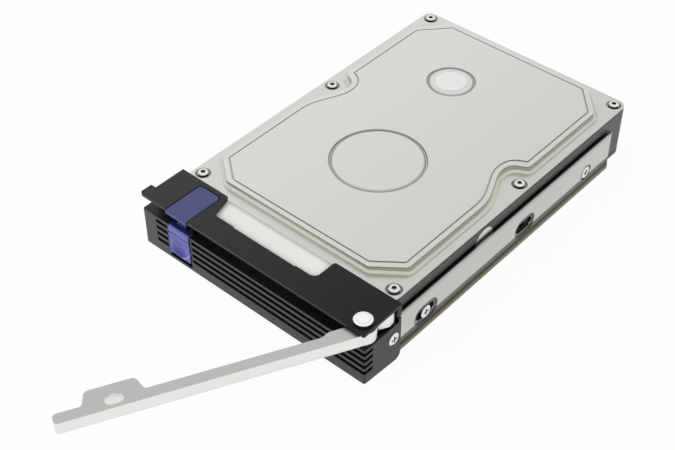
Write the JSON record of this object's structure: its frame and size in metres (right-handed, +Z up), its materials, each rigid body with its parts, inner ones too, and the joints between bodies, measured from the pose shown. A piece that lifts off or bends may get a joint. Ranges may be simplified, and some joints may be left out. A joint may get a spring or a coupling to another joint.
{
  "type": "hot-swap drive caddy",
  "caption": "Sheet-metal tray with a slotted bezel, a swinging ejector lever and a press latch, holding a 3.5 inch hard drive.",
  "frame": {"origin": "plane of the tray's underside, middle of the width, at the front face of the bezel", "axes": "+Y from the bezel towards the connector end, +Z up towards the drive's cover, +X to the right seen from the bezel"},
  "size_m": [0.1102, 0.257, 0.0301],
  "materials": {
    "tray_steel": "bright folded sheet",
    "black_moulding": "matt black",
    "black_sheet": "satin black",
    "rivet_steel": "plain",
    "blue_moulding": "satin blue",
    "spring_steel": "plain",
    "lever_metal": "satin",
    "pin_metal": "bright zinc",
    "screw_metal": "bright zinc",
    "casting": "dark grey",
    "gasket_rubber": "black",
    "cover_metal": "satin",
    "cover_screw_metal": "plain",
    "white_label": "matt white",
    "seal_foil": "satin foil",
    "board": "green lacquer",
    "hub_metal": "turned",
    "plug_moulding": "black"
  },
  "bodies": {
    "caddy": {"tray": "tray_steel", "bezel": "black_moulding", "top_plate": "black_sheet", "plate_rivets": "rivet_steel", "latch_cover": "blue_moulding", "latch_spring": "spring_steel", "lever_pin": "pin_metal", "lever_washer": "rivet_steel", "lever_spacer": "rivet_steel", "bezel_screws": "screw_metal", "drive_screws": "screw_metal", "drive_base": "casting", "cover_gasket": "gasket_rubber", "drive_cover": "cover_metal", "cover_screws": "cover_screw_metal", "cover_disc": "white_label", "side_seal": "seal_foil", "drive_label": "white_label", "circuit_board": "board", "board_screws": "cover_screw_metal", "motor_hub": "hub_metal", "drive_connector": "plug_moulding"},
    "lever": {"lever": "lever_metal"},
    "latch": {"release_latch": "blue_moulding"}
  },
  "joints": [
    {"name": "lever_hinge", "type": "hinge", "parent": "caddy", "child": "lever", "pos_m": [0.05, 0.0044, 0.0246], "axis": [0, 0, 1], "range_deg": [-62.5, 0]},
    {"name": "latch_press", "type": "slide", "parent": "caddy", "child": "latch", "axis": [0, 0, -1], "range_m": [0, 0.002], "stiffness_N_per_m": 600, "springref_m": -0.002, "deforming": ["latch_spring"]}
  ]
}
